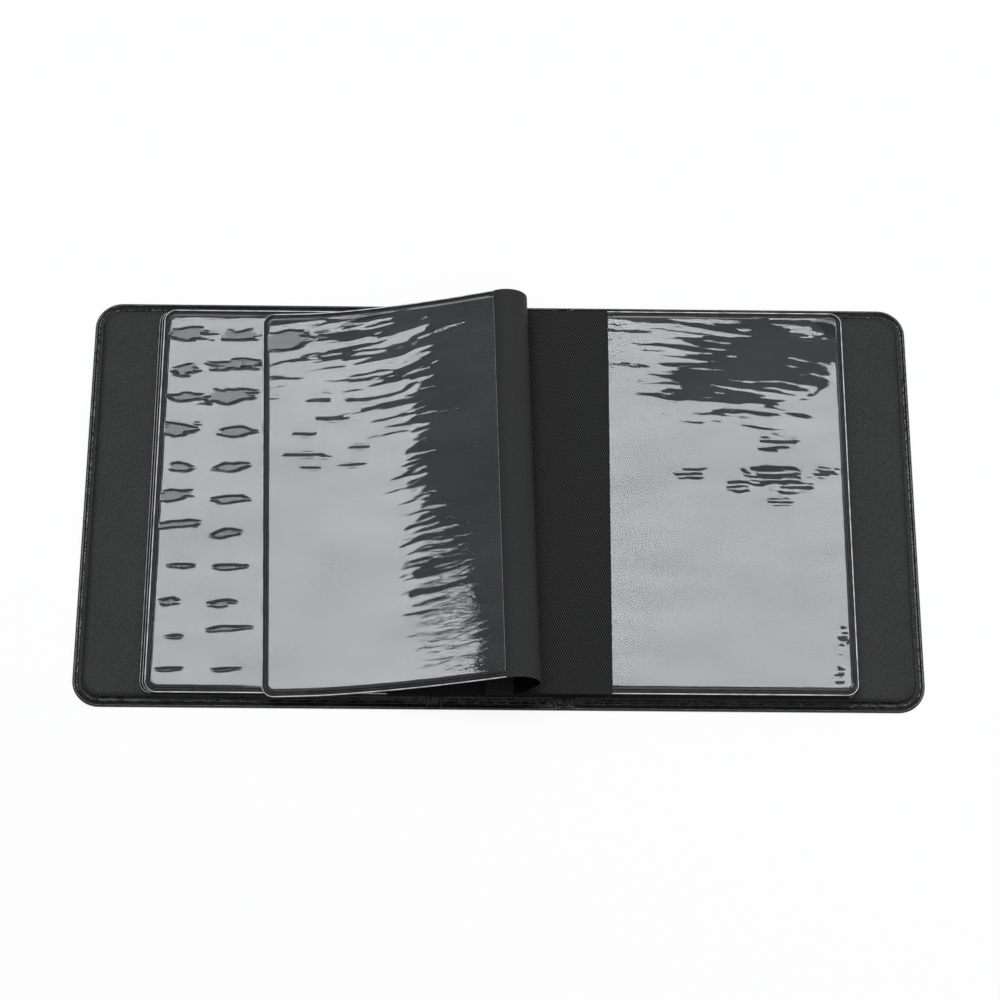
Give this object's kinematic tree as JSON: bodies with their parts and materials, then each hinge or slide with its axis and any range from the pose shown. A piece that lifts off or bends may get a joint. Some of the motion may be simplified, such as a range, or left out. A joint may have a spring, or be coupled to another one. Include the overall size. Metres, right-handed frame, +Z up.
{
  "type": "instant photo album",
  "caption": "Open instant photo album: padded-board vinyl covers, a riveted spine binding and clear pocket leaves, one of them half turned in a standing loop.",
  "frame": {"origin": "on the table under the middle of the album's bounding box, which is the middle of the spine", "axes": "+X runs to the right along the open album, +Y away from the reader to the heads of the pages, +Z up out of the pages"},
  "size_m": [0.366, 0.191, 0.0274],
  "materials": {
    "cover_vinyl": "fine-grained matt black leatherette vinyl",
    "twill_vinyl": "black vinyl with a fine diagonal weave pressed in",
    "clear_film": "clear glossy vinyl film",
    "greyboard": null,
    "rivet_steel": "plated steel"
  },
  "bodies": {
    "spine": {"spine_skin": "cover_vinyl", "spine_board": "greyboard", "spine_lining": "cover_vinyl", "binding_strip": "cover_vinyl", "rivet_1": "rivet_steel", "rivet_2": "rivet_steel", "rivet_3": "rivet_steel", "leaf_01_tab": "twill_vinyl", "leaf_02_tab": "twill_vinyl", "leaf_03_tab": "twill_vinyl", "leaf_04_tab": "twill_vinyl", "leaf_05_tab": "twill_vinyl", "leaf_06_tab": "twill_vinyl", "leaf_07_tab": "twill_vinyl", "leaf_08_tab": "twill_vinyl", "leaf_09_tab": "twill_vinyl", "leaf_10_tab": "twill_vinyl"},
    "front_cover": {"front_cover_skin": "cover_vinyl", "front_cover_board": "greyboard", "front_cover_lining": "cover_vinyl"},
    "back_cover": {"back_cover_skin": "cover_vinyl", "back_cover_board": "greyboard", "back_cover_lining": "cover_vinyl"},
    "leaf_01": {"leaf_01_backing": "twill_vinyl", "leaf_01_film_upper": "clear_film", "leaf_01_film_lower": "clear_film"},
    "leaf_02": {"leaf_02_backing": "twill_vinyl", "leaf_02_film_upper": "clear_film", "leaf_02_film_lower": "clear_film"},
    "leaf_03": {"leaf_03_backing": "twill_vinyl", "leaf_03_film_upper": "clear_film", "leaf_03_film_lower": "clear_film"},
    "leaf_10": {"leaf_10_backing": "twill_vinyl", "leaf_10_film_upper": "clear_film", "leaf_10_film_lower": "clear_film"},
    "leaf_09": {"leaf_09_backing": "twill_vinyl", "leaf_09_film_upper": "clear_film", "leaf_09_film_lower": "clear_film"},
    "leaf_08": {"leaf_08_backing": "twill_vinyl", "leaf_08_film_upper": "clear_film", "leaf_08_film_lower": "clear_film"},
    "leaf_07": {"leaf_07_backing": "twill_vinyl", "leaf_07_film_upper": "clear_film", "leaf_07_film_lower": "clear_film"},
    "leaf_06": {"leaf_06_backing": "twill_vinyl", "leaf_06_film_upper": "clear_film", "leaf_06_film_lower": "clear_film"},
    "leaf_05": {"leaf_05_backing": "twill_vinyl", "leaf_05_film_upper": "clear_film", "leaf_05_film_lower": "clear_film"},
    "leaf_04_root": {"leaf_04_fold": "twill_vinyl"},
    "leaf_04": {"leaf_04_backing": "twill_vinyl", "leaf_04_film_upper": "clear_film", "leaf_04_film_lower": "clear_film"}
  },
  "joints": [
    {"name": "front_cover_hinge", "type": "hinge", "parent": "spine", "child": "front_cover", "pos_m": [-0.028, 0, 0.0009], "axis": [0, 1, 0], "range_deg": [0, 90]},
    {"name": "back_cover_hinge", "type": "hinge", "parent": "spine", "child": "back_cover", "pos_m": [0.028, 0, 0.0009], "axis": [0, -1, 0], "range_deg": [0, 90]},
    {"name": "leaf_01_fold", "type": "hinge", "parent": "spine", "child": "leaf_01", "pos_m": [-0.02216, 0, 0.00351], "axis": [0, 1, 0], "range_deg": [0, 90]},
    {"name": "leaf_02_fold", "type": "hinge", "parent": "spine", "child": "leaf_02", "pos_m": [-0.02108, 0, 0.00444], "axis": [0, 1, 0], "range_deg": [0, 90]},
    {"name": "leaf_03_fold", "type": "hinge", "parent": "spine", "child": "leaf_03", "pos_m": [-0.02, 0, 0.00537], "axis": [0, 1, 0], "range_deg": [0, 90]},
    {"name": "leaf_10_fold", "type": "hinge", "parent": "spine", "child": "leaf_10", "pos_m": [0.0254, 0, 0.00351], "axis": [0, -1, 0], "range_deg": [0, 90]},
    {"name": "leaf_09_fold", "type": "hinge", "parent": "spine", "child": "leaf_09", "pos_m": [0.02432, 0, 0.00444], "axis": [0, -1, 0], "range_deg": [0, 90]},
    {"name": "leaf_08_fold", "type": "hinge", "parent": "spine", "child": "leaf_08", "pos_m": [0.02324, 0, 0.00537], "axis": [0, -1, 0], "range_deg": [0, 90]},
    {"name": "leaf_07_fold", "type": "hinge", "parent": "spine", "child": "leaf_07", "pos_m": [0.02216, 0, 0.0063], "axis": [0, -1, 0], "range_deg": [0, 90]},
    {"name": "leaf_06_fold", "type": "hinge", "parent": "spine", "child": "leaf_06", "pos_m": [0.02108, 0, 0.00723], "axis": [0, -1, 0], "range_deg": [0, 90]},
    {"name": "leaf_05_fold", "type": "hinge", "parent": "spine", "child": "leaf_05", "pos_m": [0.02, 0, 0.00816], "axis": [0, -1, 0], "range_deg": [0, 90]},
    {"name": "leaf_04_fold", "type": "hinge", "parent": "spine", "child": "leaf_04_root", "pos_m": [0.0045, 0.0013, 0.0175], "axis": [-0.0332, 0.9995, 0], "range_deg": [0, 90]},
    {"name": "leaf_04_turn", "type": "hinge", "parent": "leaf_04_root", "child": "leaf_04", "pos_m": [0.0045, 0.0013, 0.0273], "axis": [0.0332, -0.9995, 0], "range_deg": [-200, 0], "deforming": ["leaf_04_backing", "leaf_04_film_upper", "leaf_04_film_lower"]}
  ],
  "couplings": [
    {"joint": "leaf_01_fold", "follows": "front_cover_hinge", "ratio": 1},
    {"joint": "leaf_02_fold", "follows": "front_cover_hinge", "ratio": 1},
    {"joint": "leaf_03_fold", "follows": "front_cover_hinge", "ratio": 1},
    {"joint": "leaf_10_fold", "follows": "back_cover_hinge", "ratio": 1},
    {"joint": "leaf_09_fold", "follows": "back_cover_hinge", "ratio": 1},
    {"joint": "leaf_08_fold", "follows": "back_cover_hinge", "ratio": 1},
    {"joint": "leaf_07_fold", "follows": "back_cover_hinge", "ratio": 1},
    {"joint": "leaf_06_fold", "follows": "back_cover_hinge", "ratio": 1},
    {"joint": "leaf_05_fold", "follows": "back_cover_hinge", "ratio": 1},
    {"joint": "leaf_04_fold", "follows": "front_cover_hinge", "ratio": 1}
  ]
}
